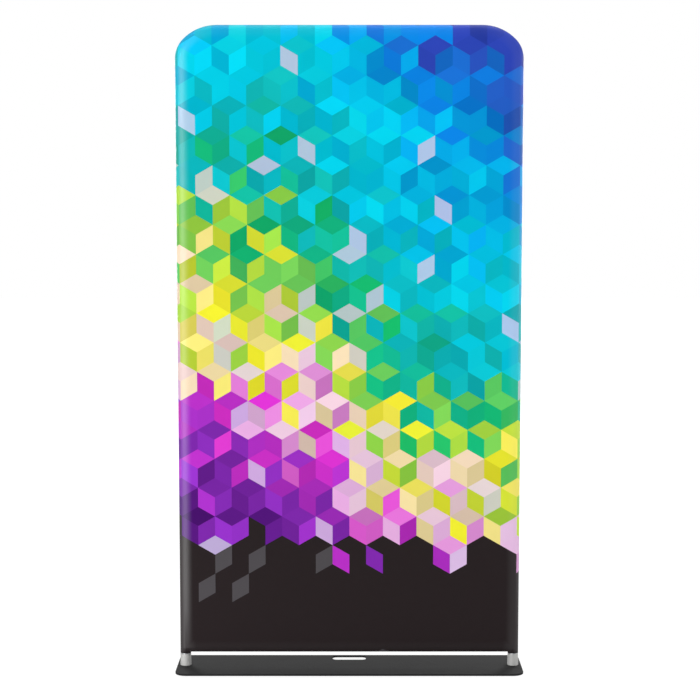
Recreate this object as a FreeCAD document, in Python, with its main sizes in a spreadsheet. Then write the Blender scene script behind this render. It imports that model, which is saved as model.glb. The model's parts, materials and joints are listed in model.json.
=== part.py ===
import FreeCAD, Part
import math
import os
import Sketcher
from FreeCAD import Placement, Rotation, Vector

# A banner stand: a printed stretch cover drawn over a round tube frame, whose two feet slip over posts on a flat base.
# The origin is the middle of the footprint on the floor, +Z is up and the printed front faces -Y.

# Driving sizes in millimetres and degrees, kept in the document's sheet
SIZES = {
    # Cover
    "banner_width": 1219,
    "banner_height": 2289,
    "cover_thickness": 1.2,
    "cover_gap": 0.3,
    "sleeve_drop": 3.2,
    # Base plate
    "plate_overhang": 10.5,
    "plate_depth": 254,
    "plate_thickness": 7,
    "plate_corner_radius": 40,
    "plate_edge_radius": 0.8,
    "slot_length": 122,
    "slot_width": 55,
    "slot_corner_radius": 16,
    "slot_land": 8,
    # Floor pads
    "pad_thickness": 1,
    "pad_diameter": 28,
    "pad_end_inset": 70,
    "pad_edge_inset": 30,
    "pad_slot_distance": 140,
    # Posts and their screws
    "post_height": 110,
    "post_gap": 0.5,
    "post_chamfer": 3,
    "thread_diameter": 8,
    "thread_length": 20,
    "thread_gap": 0.1,
    "thread_hole_spare": 4,
    "screw_head_diameter": 15,
    "screw_head_height": 4,
    "screw_head_gap": 0.2,
    "screw_sink": 0.4,
    "socket_width": 5,
    "socket_depth": 2.6,
    # Frame tubes
    "tube_diameter": 35,
    "tube_wall": 1.5,
    "bend_side_radius": 78,
    "bend_top_radius": 146,
    "bend_side_angle": 45,
    "bend_leg": 142,
    # Feet
    "foot_lip": 3,
    "foot_lip_gap": 0.4,
    "foot_fit": 0.1,
    "foot_base_wall": 2.1,
    "foot_top_wall": 1.5,
    "foot_edge": 0.5,
    "hem_gap": 2.5,
    # Tube joints
    "spigot_wall": 2,
    "spigot_reach": 60,
    "slip_gap": 0.3,
    "rivet_offset": 30,
    "rivet_diameter": 4,
    "rivet_gap": 0.1,
    "rivet_head_diameter": 7,
    "rivet_head_height": 1.4,
    "rivet_tail_diameter": 5.4,
    "rivet_tail_height": 2.2,
    # Snap buttons and their springs
    "button_offset": 30,
    "button_diameter": 8,
    "button_gap": 0.4,
    "button_rise": 2.5,
    "button_dome_height": 2,
    "button_flange_diameter": 11,
    "button_flange_thickness": 1.2,
    "button_seat_gap": 0.2,
    "spring_thickness": 0.8,
    "spring_width": 9,
    "spring_tail": 8,
    "spring_leg": 23,
    "spring_seat_gap": 0.1,
    # Crossbar
    "crossbar_height": 75,
    "crossbar_end_gap": 0.5,
    "stub_reach": 65,
    # Zip in the rear panel
    "zip_height": 125,
    "zip_end_inset": 45,
    "tape_width": 4,
    "chain_width": 5.2,
    "chain_thickness": 2.4,
    "stop_length": 3,
    "stop_thickness": 2.8,
    "slider_length": 14,
    "slider_width": 9,
    "slider_wing": 1.2,
    "slider_gap": 0.3,
    "bridge_length": 3,
    "bridge_width": 2.4,
    "lug_length": 5,
    "lug_width": 3,
    "lug_height": 3,
    "lug_bore": 2,
    "lug_bore_height": 1.6,
    "pull_pin_diameter": 1.6,
    "pull_width": 7,
    "pull_length": 30,
    "pull_thickness": 1.4,
    "pull_eye_length": 4,
    "pull_side_gap": 0.3,
    "pull_end_radius": 3,
    # Extra length of every cut, past the solid it goes through
    "cut_overrun": 1,
}

# A sketch counts its axes from -1 down, and the points of a curve from 1 up
HORIZONTAL_AXIS, VERTICAL_AXIS = range(-1, -3, -1)
LINE_START, LINE_END, CENTRE = range(1, 4)
ORIGIN, ORIGIN_POINT = HORIZONTAL_AXIS, LINE_START
LEFT, RIGHT = -1, 1


class Size:
    """A size that carries its number together with the sheet formula it comes from."""

    def __init__(self, value, text):
        self.value = value
        self.text = text

    def __add__(self, other):
        return Size(self.value + number(other), f"({self.text} + {formula(other)})")

    def __sub__(self, other):
        return Size(self.value - number(other), f"({self.text} - {formula(other)})")

    def __mul__(self, other):
        return Size(self.value * number(other), f"({self.text} * {formula(other)})")

    def __truediv__(self, other):
        return Size(self.value / number(other), f"({self.text} / {formula(other)})")

    def __neg__(self):
        return Size(-self.value, f"(-{self.text})")


def number(quantity):
    return quantity.value if isinstance(quantity, Size) else float(quantity)


def formula(quantity):
    return quantity.text if isinstance(quantity, Size) else f"({quantity})"


def square_root(size):
    return Size(math.sqrt(size.value), f"sqrt({size.text})")


def cosine(angle):
    return Size(math.cos(math.radians(angle.value)), f"cos({angle.text})")


def sine(angle):
    return Size(math.sin(math.radians(angle.value)), f"sin({angle.text})")


def flat_across(radius, width):
    """How far from its axis a flat of this width sits in, or on, a round of this radius."""
    return square_root(radius * radius - width * width / 4)


def dome_radius(base_radius, height):
    """The radius of a ball whose cap has this base and height."""
    return (base_radius * base_radius + height * height) / (height * 2)


doc = FreeCAD.newDocument("banner_stand")
sheet = doc.addObject("Spreadsheet::Sheet", "Sizes")
for row, (alias, amount) in enumerate(SIZES.items(), start=1):
    sheet.set(f"A{row}", str(amount))
    sheet.setAlias(f"A{row}", alias)
doc.recompute()


def size(alias):
    return Size(float(sheet.get(alias)), f"Sizes.{alias}")


# Sizes that several pieces share
tube_radius = size("tube_diameter") / 2
bore_radius = tube_radius - size("tube_wall")
spigot_radius = bore_radius - size("slip_gap")
spigot_bore_radius = spigot_radius - size("spigot_wall")
cover_inner_radius = tube_radius + size("cover_gap")
cover_radius = cover_inner_radius + size("cover_thickness")

leg_x = size("banner_width") / 2 - cover_radius
top_line = size("banner_height") - cover_radius
plate_half_length = size("banner_width") / 2 + size("plate_overhang")
plate_half_depth = size("plate_depth") / 2
plate_top = size("pad_thickness") + size("plate_thickness")
tube_foot = plate_top + size("foot_lip")
post_radius = bore_radius - size("post_gap")

# The bent corner is two tangent arcs: a tighter one from the upright, a wider one into the top bar
side_radius = size("bend_side_radius")
top_radius = size("bend_top_radius")
turn_cosine = cosine(size("bend_side_angle"))
turn_sine = sine(size("bend_side_angle"))
bend_start = top_line - side_radius * turn_sine - top_radius * (turn_sine * -1 + 1)
side_centre_x = leg_x - side_radius
bend_split_x = side_centre_x + side_radius * turn_cosine
bend_split_z = bend_start + side_radius * turn_sine
top_centre_x = bend_split_x - top_radius * turn_cosine
top_centre_z = top_line - top_radius

top_joint = bend_start - size("bend_leg")
mid_joint = (tube_foot + top_joint) / 2
crossbar_end = leg_x - tube_radius - size("crossbar_end_gap")
cover_bottom = size("crossbar_height") - cover_radius - size("sleeve_drop")

rivet_hole = size("rivet_diameter") + size("rivet_gap") * 2
button_hole = size("button_diameter") + size("button_gap") * 2

zip_half = leg_x - size("zip_end_inset")
zip_face = cover_radius - size("cover_thickness") / 2
slider_start = -zip_half + size("stop_length") + size("slider_gap")
chain_start = slider_start + size("bridge_length") + size("slider_gap")

nodes = []


def node(piece):
    nodes.append(piece)
    return piece


def bind_place(item, path, x, y, z):
    """Ties the three coordinates of a placement to sizes; a plain zero stays as it is."""
    for axis, place in (("x", x), ("y", y), ("z", z)):
        if isinstance(place, Size):
            item.setExpression(f"{path}.Base.{axis}", place.text)


def new_body(label, turn=Rotation(), x=0, y=0, z=0):
    body = doc.addObject("PartDesign::Body", label)
    body.Label = label
    body.Placement = Placement(Vector(), turn)
    bind_place(body, "Placement", x, y, z)
    return body


def group(label, members):
    """One node that holds several separate solids."""
    compound = doc.addObject("Part::Compound", label)
    compound.Label = label
    compound.Links = members
    return compound


def sketch_on(body, plane, name, x=0, y=0, z=0):
    """An empty sketch on one of the body's own planes, shifted in the plane's own directions."""
    support = next(item for item in body.Origin.OriginFeatures if item.Role == plane)
    sketch = body.newObject("Sketcher::SketchObject", name)
    sketch.AttachmentSupport = [(support, "")]
    sketch.MapMode = "FlatFace"
    bind_place(sketch, "AttachmentOffset", x, y, z)
    return sketch


def fix_size(sketch, constraint, amount):
    index = sketch.addConstraint(constraint)
    sketch.setExpression(f"Constraints[{index}]", amount.text)


def pin_point(sketch, curve, point, x, y, kinds=("DistanceX", "DistanceY")):
    """Fixes a sketch point by its coordinates: on an axis where one is zero."""
    for kind, place, axis in (("DistanceX", x, VERTICAL_AXIS), ("DistanceY", y, HORIZONTAL_AXIS)):
        if kind not in kinds:
            continue
        if isinstance(place, Size):
            rule = Sketcher.Constraint(kind, ORIGIN, ORIGIN_POINT, curve, point, place.value)
            fix_size(sketch, rule, place)
        else:
            sketch.addConstraint(Sketcher.Constraint("PointOnObject", curve, point, axis))


def arc_between(start, end, centre):
    """The shorter arc from start to end, and the ends of the curve where it starts and stops."""
    first = math.atan2(start.y - centre.y, start.x - centre.x)
    last = math.atan2(end.y - centre.y, end.x - centre.x)
    circle_curve = Part.Circle(centre, Vector(0, 0, 1), start.distanceToPoint(centre))
    if math.sin(last - first) > 0:
        return Part.ArcOfCircle(circle_curve, first, last), LINE_START, LINE_END
    return Part.ArcOfCircle(circle_curve, last, first), LINE_END, LINE_START


def draw(sketch, start, steps, closed=True):
    """Lines and arcs from start: a step is an end point (x, y), or an end point and an arc's centre (x, y, cx, cy)."""
    here = start
    before = None
    for count, step in enumerate(steps + [start] * closed, start=1):
        end = step[:2]
        centre = step[2:]
        spots = [Vector(number(x), number(y), 0) for x, y in (here, end)]
        first_end, last_end = LINE_START, LINE_END
        if centre:
            middle = Vector(number(centre[0]), number(centre[1]), 0)
            shape, first_end, last_end = arc_between(spots[0], spots[1], middle)
        else:
            shape = Part.LineSegment(spots[0], spots[1])
        curve = sketch.addGeometry(shape)
        if before is None:
            opening = (curve, first_end)
            pin_point(sketch, curve, first_end, start[0], start[1])
        else:
            sketch.addConstraint(Sketcher.Constraint("Coincident", before[0], before[1], curve, first_end))
        if closed and count > len(steps):
            sketch.addConstraint(Sketcher.Constraint("Coincident", curve, last_end, opening[0], opening[1]))
        elif centre:
            pin_point(sketch, curve, CENTRE, centre[0], centre[1])
            steep = abs(spots[1].x - middle.x) > abs(spots[1].y - middle.y)
            pin_point(sketch, curve, last_end, end[0], end[1], ("DistanceY",) if steep else ("DistanceX",))
        else:
            pin_point(sketch, curve, last_end, end[0], end[1])
        before = (curve, last_end)
        here = end


def draw_circle(sketch, x, y, diameter):
    curve = sketch.addGeometry(Part.Circle(Vector(number(x), number(y), 0), Vector(0, 0, 1), diameter.value / 2))
    pin_point(sketch, curve, CENTRE, x, y)
    fix_size(sketch, Sketcher.Constraint("Diameter", curve, diameter.value), diameter)


def draw_rectangle(sketch, low_x, low_y, high_x, high_y):
    draw(sketch, (low_x, low_y), [(high_x, low_y), (high_x, high_y), (low_x, high_y)])


def feature(body, kind, name, profile, **settings):
    """A sketched feature of a body, with its sizes tied to the sheet."""
    made = body.newObject(f"PartDesign::{kind}", name)
    made.Profile = profile
    for setting, amount in settings.items():
        if isinstance(amount, Size):
            made.setExpression(setting, amount.text)
        else:
            setattr(made, setting, amount)
    return made


def round_edges(body, name, radius, wanted):
    """Rounds the edges of the body so far that the test picks."""
    doc.recompute()
    base = body.Tip
    picked = [f"Edge{index}" for index, edge in enumerate(base.Shape.Edges, start=1) if wanted(edge)]
    fillet = body.newObject("PartDesign::Fillet", name)
    fillet.Base = (base, picked)
    fillet.setExpression("Radius", radius.text)


def is_upright(edge):
    low, high = edge.BoundBox.ZMin, edge.BoundBox.ZMax
    return edge.BoundBox.XLength + edge.BoundBox.YLength < (high - low) / 2


def lies_level(height):
    """A test for edges that lie in the level plane at this height."""
    near = size("plate_edge_radius").value / 4
    return lambda edge: abs(edge.BoundBox.ZMin - height) + abs(edge.BoundBox.ZMax - height) < near


def turned(body, name, sketch, axis):
    return feature(body, "Revolution", name, sketch, ReferenceAxis=(sketch, [axis]))


# Turns that carry a piece's own Z axis along its tube and its own X axis to where its buttons and rivets face
face_right = Rotation()
face_left = Rotation(Vector(-1, 0, 0), Vector(0, -1, 0), Vector(0, 0, 1), "ZXY")
right_face_down = Rotation(Vector(0, 0, -1), Vector(0, 1, 0), Vector(1, 0, 0), "ZXY")
right_face_up = Rotation(Vector(0, 0, 1), Vector(0, -1, 0), Vector(1, 0, 0), "ZXY")
left_face_up = Rotation(Vector(0, 0, 1), Vector(0, 1, 0), Vector(-1, 0, 0), "ZXY")

SIDES = {
    "left": (LEFT, face_right),
    "right": (RIGHT, face_left),
}

# Where the tubes part: the end of the tube that holds the spigot, looking along the spigot
SPIGOT_JOINTS = {
    "left_mid": (face_right, -leg_x, 0, mid_joint),
    "right_mid": (face_left, leg_x, 0, mid_joint),
    "left_top": (face_right, -leg_x, 0, top_joint),
    "right_top": (face_left, leg_x, 0, top_joint),
    "top_bar": (right_face_down, 0, 0, top_line),
}
CROSSBAR_JOINTS = {
    "left_crossbar": (right_face_up, -crossbar_end, 0, size("crossbar_height")),
    "right_crossbar": (left_face_up, crossbar_end, 0, size("crossbar_height")),
}


def base_plate():
    """Flat steel plate with a hand slot by its rear edge and two countersunk holes under the posts."""
    body = new_body("base_plate", z=size("pad_thickness"))
    blank = sketch_on(body, "XY_Plane", "plate_outline")
    draw_rectangle(blank, -plate_half_length, -plate_half_depth, plate_half_length, plate_half_depth)
    feature(body, "Pad", "plate_blank", blank, Length=size("plate_thickness"))
    round_edges(body, "plate_corners", size("plate_corner_radius"), is_upright)

    slot = sketch_on(body, "XY_Plane", "slot_outline")
    slot_rear = plate_half_depth - size("slot_land")
    slot_half = size("slot_length") / 2
    draw_rectangle(slot, -slot_half, slot_rear - size("slot_width"), slot_half, slot_rear)
    feature(body, "Pocket", "hand_slot", slot, Type="ThroughAll", Reversed=True)
    inside_slot = slot_half.value + size("cut_overrun").value
    round_edges(body, "slot_corners", size("slot_corner_radius"),
                lambda edge: is_upright(edge) and abs(edge.CenterOfMass.x) < inside_slot)

    for side in (LEFT, RIGHT):
        hole = sketch_on(body, "XZ_Plane", "screw_hole_profile", x=leg_x * side)
        mouth = size("screw_head_diameter") / 2 + size("screw_head_gap") + size("screw_sink")
        shank = size("thread_diameter") / 2 + size("screw_head_gap")
        seat = size("screw_sink") + size("screw_head_height")
        draw(hole, (0, 0), [(mouth, 0), (mouth, size("screw_sink")), (shank, seat),
                            (shank, size("plate_thickness")), (0, size("plate_thickness"))])
        feature(body, "Groove", "screw_hole", hole, ReferenceAxis=(hole, ["V_Axis"]))

    thickness = size("plate_thickness").value
    past_hole = size("screw_head_diameter").value
    for name, height in (("top_edges", thickness), ("bottom_edges", 0)):
        level = lies_level(height)
        round_edges(body, name, size("plate_edge_radius"),
                    lambda edge: level(edge) and (edge.BoundBox.DiagonalLength > past_hole * 2
                                                  or abs(edge.CenterOfMass.y) > past_hole))
    return body


def floor_pads():
    """Thin rubber discs under the plate, clear of the hand slot."""
    outer = plate_half_length - size("pad_end_inset")
    inner = size("slot_length") / 2 + size("pad_slot_distance")
    across = plate_half_depth - size("pad_edge_inset")
    pads = []
    for x in (-outer, -inner, inner, outer):
        for y in (-across, across):
            pad = doc.addObject("Part::Cylinder", "floor_pad")
            pad.setExpression("Radius", (size("pad_diameter") / 2).text)
            pad.setExpression("Height", size("pad_thickness").text)
            bind_place(pad, "Placement", x, y, 0)
            pads.append(pad)
    return group("floor_pads", pads)


def post(name, side):
    """A turned stud that a foot slips over, threaded from below."""
    body = new_body(f"{name}_post", x=leg_x * side, z=plate_top)
    profile = sketch_on(body, "XZ_Plane", "post_profile")
    hole_radius = size("thread_diameter") / 2 + size("thread_gap")
    hole_depth = size("thread_length") + size("thread_hole_spare")
    height = size("post_height")
    lead = size("post_chamfer")
    draw(profile, (hole_radius, 0), [(post_radius, 0), (post_radius, height - lead), (post_radius - lead, height),
                                     (0, height), (0, hole_depth), (hole_radius, hole_depth)])
    turned(body, "post", profile, "V_Axis")
    return body


def post_screw(side):
    """A countersunk socket screw, its head sunk into the underside of the plate."""
    body = new_body("post_screw", x=leg_x * side, z=size("pad_thickness") + size("screw_sink"))
    profile = sketch_on(body, "XZ_Plane", "screw_profile")
    shank = size("thread_diameter") / 2
    tip = size("plate_thickness") - size("screw_sink") + size("thread_length")
    draw(profile, (0, 0), [(size("screw_head_diameter") / 2, 0), (shank, size("screw_head_height")),
                           (shank, tip), (0, tip)])
    turned(body, "screw", profile, "V_Axis")

    socket = sketch_on(body, "XY_Plane", "socket_outline")
    corner = size("socket_width") / math.sqrt(3)
    half_corner = corner / 2
    half_width = size("socket_width") / 2
    draw(socket, (corner, 0), [(half_corner, half_width), (-half_corner, half_width), (-corner, 0),
                               (-half_corner, -half_width), (half_corner, -half_width)])
    feature(body, "Pocket", "socket", socket, Length=size("socket_depth"), Reversed=True)
    return body


def foot_ferrule(name, side):
    """The bare silver foot: a slightly flared sleeve on the end of the upright, with a lip under the tube."""
    body = new_body(f"{name}_foot_ferrule", x=leg_x * side, z=plate_top)
    profile = sketch_on(body, "XZ_Plane", "ferrule_profile")
    height = cover_bottom - size("hem_gap") - plate_top
    lip_radius = post_radius + size("foot_lip_gap")
    seat_radius = tube_radius + size("foot_fit")
    base_radius = seat_radius + size("foot_base_wall")
    mouth_radius = seat_radius + size("foot_top_wall")
    edge = size("foot_edge")
    draw(profile, (lip_radius, 0), [(base_radius - edge, 0), (base_radius, edge), (mouth_radius, height - edge),
                                    (mouth_radius - edge, height), (seat_radius, height),
                                    (seat_radius, size("foot_lip")), (lip_radius, size("foot_lip"))])
    turned(body, "ferrule", profile, "V_Axis")
    return body


def straight_tube(label, radius, bore, length, place, holes):
    """A tube along its own Z axis, with holes through the wall on its +X side."""
    body = new_body(label, *place)
    ring = sketch_on(body, "XY_Plane", "tube_section")
    draw_circle(ring, 0, 0, radius * 2)
    draw_circle(ring, 0, 0, bore * 2)
    feature(body, "Pad", "tube", ring, Length=length)
    for height, diameter in holes:
        spot = sketch_on(body, "YZ_Plane", "hole_place")
        draw_circle(spot, 0, height, diameter)
        feature(body, "Pocket", "hole", spot, Type="ThroughAll", Reversed=True)
    return body


def lower_tube(name, side, turn):
    length = mid_joint - tube_foot
    return straight_tube(f"{name}_lower_tube", tube_radius, bore_radius, length, (turn, leg_x * side, 0, tube_foot),
                         [(length - size("rivet_offset"), rivet_hole)])


def upper_tube(name, side, turn):
    length = top_joint - mid_joint
    return straight_tube(f"{name}_upper_tube", tube_radius, bore_radius, length, (turn, leg_x * side, 0, mid_joint),
                         [(size("button_offset"), button_hole), (length - size("rivet_offset"), rivet_hole)])


def corner_steps(side):
    """The bent corner on one side, from the upright to the top bar."""
    return [(bend_split_x * side, bend_split_z, side_centre_x * side, bend_start),
            (top_centre_x * side, top_line, top_centre_x * side, top_centre_z)]


def top_tube(name, side):
    """A bent corner with a short leg down to the upright and half of the top bar."""
    body = new_body(f"{name}_top_tube")
    path = sketch_on(body, "XZ_Plane", "bend_path")
    draw(path, (leg_x * side, top_joint), [(leg_x * side, bend_start)] + corner_steps(side) + [(0, top_line)],
         closed=False)
    ring = sketch_on(body, "XY_Plane", "tube_section", z=top_joint)
    draw_circle(ring, leg_x * side, 0, tube_radius * 2)
    draw_circle(ring, leg_x * side, 0, bore_radius * 2)
    feature(body, "AdditivePipe", "bent_tube", ring, Spine=(path, ["Edge1", "Edge2", "Edge3", "Edge4"]))

    leg_spot = sketch_on(body, "YZ_Plane", "leg_hole_place", z=leg_x * side)
    draw_circle(leg_spot, 0, top_joint + size("button_offset"), button_hole)
    feature(body, "Pocket", "leg_hole", leg_spot, Length=tube_radius + size("cut_overrun"), Reversed=side == LEFT)

    bar_hole, bar_offset = (rivet_hole, size("rivet_offset")) if side == LEFT else (button_hole, size("button_offset"))
    bar_spot = sketch_on(body, "XY_Plane", "bar_hole_place", z=top_line)
    draw_circle(bar_spot, bar_offset * side, 0, bar_hole)
    feature(body, "Pocket", "bar_hole", bar_spot, Length=tube_radius + size("cut_overrun"))
    return body


def crossbar():
    length = crossbar_end * 2
    offset = size("button_offset")
    return straight_tube("crossbar", tube_radius, bore_radius, length,
                         (right_face_up, -crossbar_end, 0, size("crossbar_height")),
                         [(offset, button_hole), (length - offset, button_hole)])


def crossbar_stub(name, side, turn):
    """A spigot welded to the inner side of the upright, cut to its round."""
    start = tube_radius + size("crossbar_end_gap")
    body = straight_tube(f"{name}_crossbar_stub", spigot_radius, spigot_bore_radius, start + size("stub_reach"),
                         (turn, leg_x * side, 0, size("crossbar_height")),
                         [(start + size("button_offset"), button_hole)])
    cope = sketch_on(body, "YZ_Plane", "cope_outline")
    draw_circle(cope, 0, 0, tube_radius * 2)
    feature(body, "Pocket", "cope", cope, Type="ThroughAll", Midplane=True)
    return body


def spigot(name, place):
    """The inner sleeve of a tube joint: riveted into one tube, snapped into the other."""
    reach = size("spigot_reach")
    body = straight_tube(f"{name}_spigot", spigot_radius, spigot_bore_radius, reach * 2, place,
                         [(reach - size("rivet_offset"), rivet_hole), (reach + size("button_offset"), button_hole)])
    return body


def spigot_place(place):
    """The joint's place, moved back by the spigot's reach along the tube."""
    turn, x, y, z = place
    if isinstance(x, Size):
        return turn, x, y, z - size("spigot_reach")
    return turn, -size("spigot_reach"), y, z


def spigot_rivet(place):
    """A blind rivet through tube and spigot, its head towards the middle of the banner."""
    body = new_body("spigot_rivet", *place)
    profile = sketch_on(body, "XZ_Plane", "rivet_profile", y=-size("rivet_offset"))
    shank = size("rivet_diameter") / 2
    head = size("rivet_head_diameter") / 2
    tail = size("rivet_tail_diameter") / 2
    tail_top = flat_across(spigot_bore_radius, size("rivet_tail_diameter")) - size("rivet_gap")
    tail_end = tail_top - size("rivet_tail_height")
    crown = tube_radius + size("rivet_head_height")
    draw(profile, (tail_end, 0), [(tail_end, tail), (tail_top, tail), (tail_top, shank), (tube_radius, shank),
                                  (tube_radius, head),
                                  (crown, 0, crown - dome_radius(head, size("rivet_head_height")), 0)])
    turned(body, "rivet", profile, "H_Axis")
    return body


button_seat = flat_across(spigot_bore_radius, size("button_flange_diameter")) - size("button_seat_gap")
button_foot = button_seat - size("button_flange_thickness")


def snap_button(name, place):
    """A domed lock button with a flange that stops it against the inside of its spigot."""
    body = new_body(f"{name}_button", *place)
    profile = sketch_on(body, "XZ_Plane", "button_profile", y=size("button_offset"))
    stem = size("button_diameter") / 2
    flange = size("button_flange_diameter") / 2
    crown = tube_radius + size("button_rise")
    shoulder = crown - size("button_dome_height")
    draw(profile, (button_foot, 0), [(button_foot, flange), (button_seat, flange), (button_seat, stem),
                                     (shoulder, stem),
                                     (crown, 0, crown - dome_radius(stem, size("button_dome_height")), 0)])
    turned(body, "button", profile, "H_Axis")
    return body


def button_spring(name, place):
    """A strip spring bent to a U: one leg carries the button, the other lies on the far side of the spigot."""
    body = new_body(f"{name}_spring", *place)
    outline = sketch_on(body, "XZ_Plane", "spring_outline", z=-size("spring_width") / 2)
    strip = size("spring_thickness")
    near = button_foot - size("spring_seat_gap")
    far = -(flat_across(spigot_bore_radius, size("spring_width")) - size("spring_seat_gap"))
    tip = size("button_offset") + size("spring_tail")
    bend = tip - size("spring_leg")
    middle = (near + far) / 2
    outer = (near - far) / 2
    inner = outer - strip
    draw(outline, (near, tip), [(near - strip, tip), (near - strip, bend), (middle, bend - inner, middle, bend),
                                (far + strip, bend, middle, bend), (far + strip, tip), (far, tip), (far, bend),
                                (middle, bend - outer, middle, bend), (near, bend, middle, bend)])
    feature(body, "Pad", "strip", outline, Length=size("spring_width"))
    return body


def cover_panel(label, turn):
    """Half of the cover: a flat sheet, its edges rolled round the tubes to the seam at the middle of the depth."""
    body = new_body(label, turn)
    sleeve_x = leg_x - cover_radius
    bar = size("crossbar_height")
    sheet_outline = sketch_on(body, "XZ_Plane", "sheet_outline", z=cover_inner_radius)
    right_side = [(leg_x, cover_bottom), (sleeve_x, cover_bottom), (sleeve_x, bar)]
    left_side = [(-sleeve_x, bar), (-sleeve_x, cover_bottom)]
    over_right = [(top_centre_x, top_line), (bend_split_x, bend_split_z, top_centre_x, top_centre_z),
                  (leg_x, bend_start, side_centre_x, bend_start)]
    draw(sheet_outline, (-leg_x, cover_bottom), [(-leg_x, bend_start)] + corner_steps(LEFT) + over_right
         + right_side + left_side)
    feature(body, "Pad", "sheet", sheet_outline, Length=size("cover_thickness"))

    path = sketch_on(body, "XZ_Plane", "edge_path")
    draw(path, (-leg_x, cover_bottom), [(-leg_x, bend_start)] + corner_steps(LEFT) + over_right
         + [(leg_x, cover_bottom)], closed=False)
    edge = sketch_on(body, "XY_Plane", "edge_section", z=cover_bottom)
    draw(edge, (-leg_x, -cover_radius), [(-leg_x - cover_radius, 0, -leg_x, 0), (-leg_x - cover_inner_radius, 0),
                                         (-leg_x, -cover_inner_radius, -leg_x, 0)])
    feature(body, "AdditivePipe", "rolled_edge", edge, Spine=(path, [f"Edge{count}" for count in range(1, 8)]))

    hem = sketch_on(body, "YZ_Plane", "hem_section", z=-sleeve_x)
    draw(hem, (-cover_radius, bar), [(0, bar - cover_radius, 0, bar), (0, bar - cover_inner_radius),
                                     (-cover_inner_radius, bar, 0, bar)])
    feature(body, "Pad", "rolled_hem", hem, Length=sleeve_x * 2)
    return body


def rear_panel():
    """The back half of the cover, with the gap that the zip closes."""
    body = cover_panel("rear_panel", face_left)
    gap = sketch_on(body, "XZ_Plane", "zip_gap_outline")
    half_gap = size("chain_width") / 2 + size("tape_width")
    draw_rectangle(gap, -zip_half, size("zip_height") - half_gap, zip_half, size("zip_height") + half_gap)
    feature(body, "Pocket", "zip_gap", gap, Type="ThroughAll", Reversed=True)
    return body


def block(name, low, high):
    """A plain block between two corners."""
    box = doc.addObject("Part::Box", name)
    for side, start, end in zip(("Length", "Width", "Height"), low, high):
        box.setExpression(side, (end - start).text)
    bind_place(box, "Placement", *low)
    return box


def zip_tapes():
    """The two tape strips beside the chain, in the plane of the rear panel."""
    half_chain = size("chain_width") / 2
    near = cover_inner_radius
    far = cover_radius
    height = size("zip_height")
    lower = block("lower_tape", (-zip_half, near, height - half_chain - size("tape_width")),
                  (zip_half, far, height - half_chain))
    upper = block("upper_tape", (-zip_half, near, height + half_chain),
                  (zip_half, far, height + half_chain + size("tape_width")))
    return group("zip_tapes", [lower, upper])


def zip_chain():
    half_chain = size("chain_width") / 2
    half_thick = size("chain_thickness") / 2
    chain = block("zip_chain", (chain_start, zip_face - half_thick, size("zip_height") - half_chain),
                  (zip_half - size("stop_length"), zip_face + half_thick, size("zip_height") + half_chain))
    return chain


def zip_stops():
    half_chain = size("chain_width") / 2
    half_thick = size("stop_thickness") / 2
    stops = []
    for start in (-zip_half, zip_half - size("stop_length")):
        stops.append(block("zip_stop", (start, zip_face - half_thick, size("zip_height") - half_chain),
                           (start + size("stop_length"), zip_face + half_thick, size("zip_height") + half_chain)))
    return group("zip_stops", stops)


wing_near = zip_face + size("chain_thickness") / 2 + size("slider_gap")
wing_far = wing_near + size("slider_wing")
lug_axis_x = slider_start + size("slider_length") / 2
lug_axis_y = wing_far + size("lug_bore_height")


def zip_slider():
    """Two wings either side of the chain, joined by a bridge ahead of it, with a lug for the pull."""
    body = new_body("zip_slider", z=size("zip_height"))
    half_width = size("slider_width") / 2
    slider_end = slider_start + size("slider_length")
    neck = half_width - size("bridge_width") / 2
    shoulder = slider_start + size("bridge_length")
    inner_wing = zip_face * 2 - wing_far
    for name, level in (("outer_wing", wing_near), ("inner_wing", inner_wing)):
        outline = sketch_on(body, "XZ_Plane", f"{name}_outline", z=-level)
        draw(outline, (slider_start, -half_width), [(shoulder, -half_width), (slider_end, -neck), (slider_end, neck),
                                                    (shoulder, half_width), (slider_start, half_width)])
        feature(body, "Pad", name, outline, Length=size("slider_wing"), Reversed=True)
        if name == "outer_wing":
            bridge = sketch_on(body, "XZ_Plane", "bridge_outline", z=-inner_wing)
            half_bridge = size("bridge_width") / 2
            draw_rectangle(bridge, slider_start, -half_bridge, shoulder, half_bridge)
            feature(body, "Pad", "bridge", bridge, Length=wing_far - inner_wing, Reversed=True)

    lug = sketch_on(body, "XY_Plane", "lug_outline", z=-size("lug_width") / 2)
    half_lug = size("lug_length") / 2
    draw_rectangle(lug, lug_axis_x - half_lug, wing_far, lug_axis_x + half_lug, wing_far + size("lug_height"))
    draw_circle(lug, lug_axis_x, lug_axis_y, size("lug_bore"))
    feature(body, "Pad", "lug", lug, Length=size("lug_width"))
    return body


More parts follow.
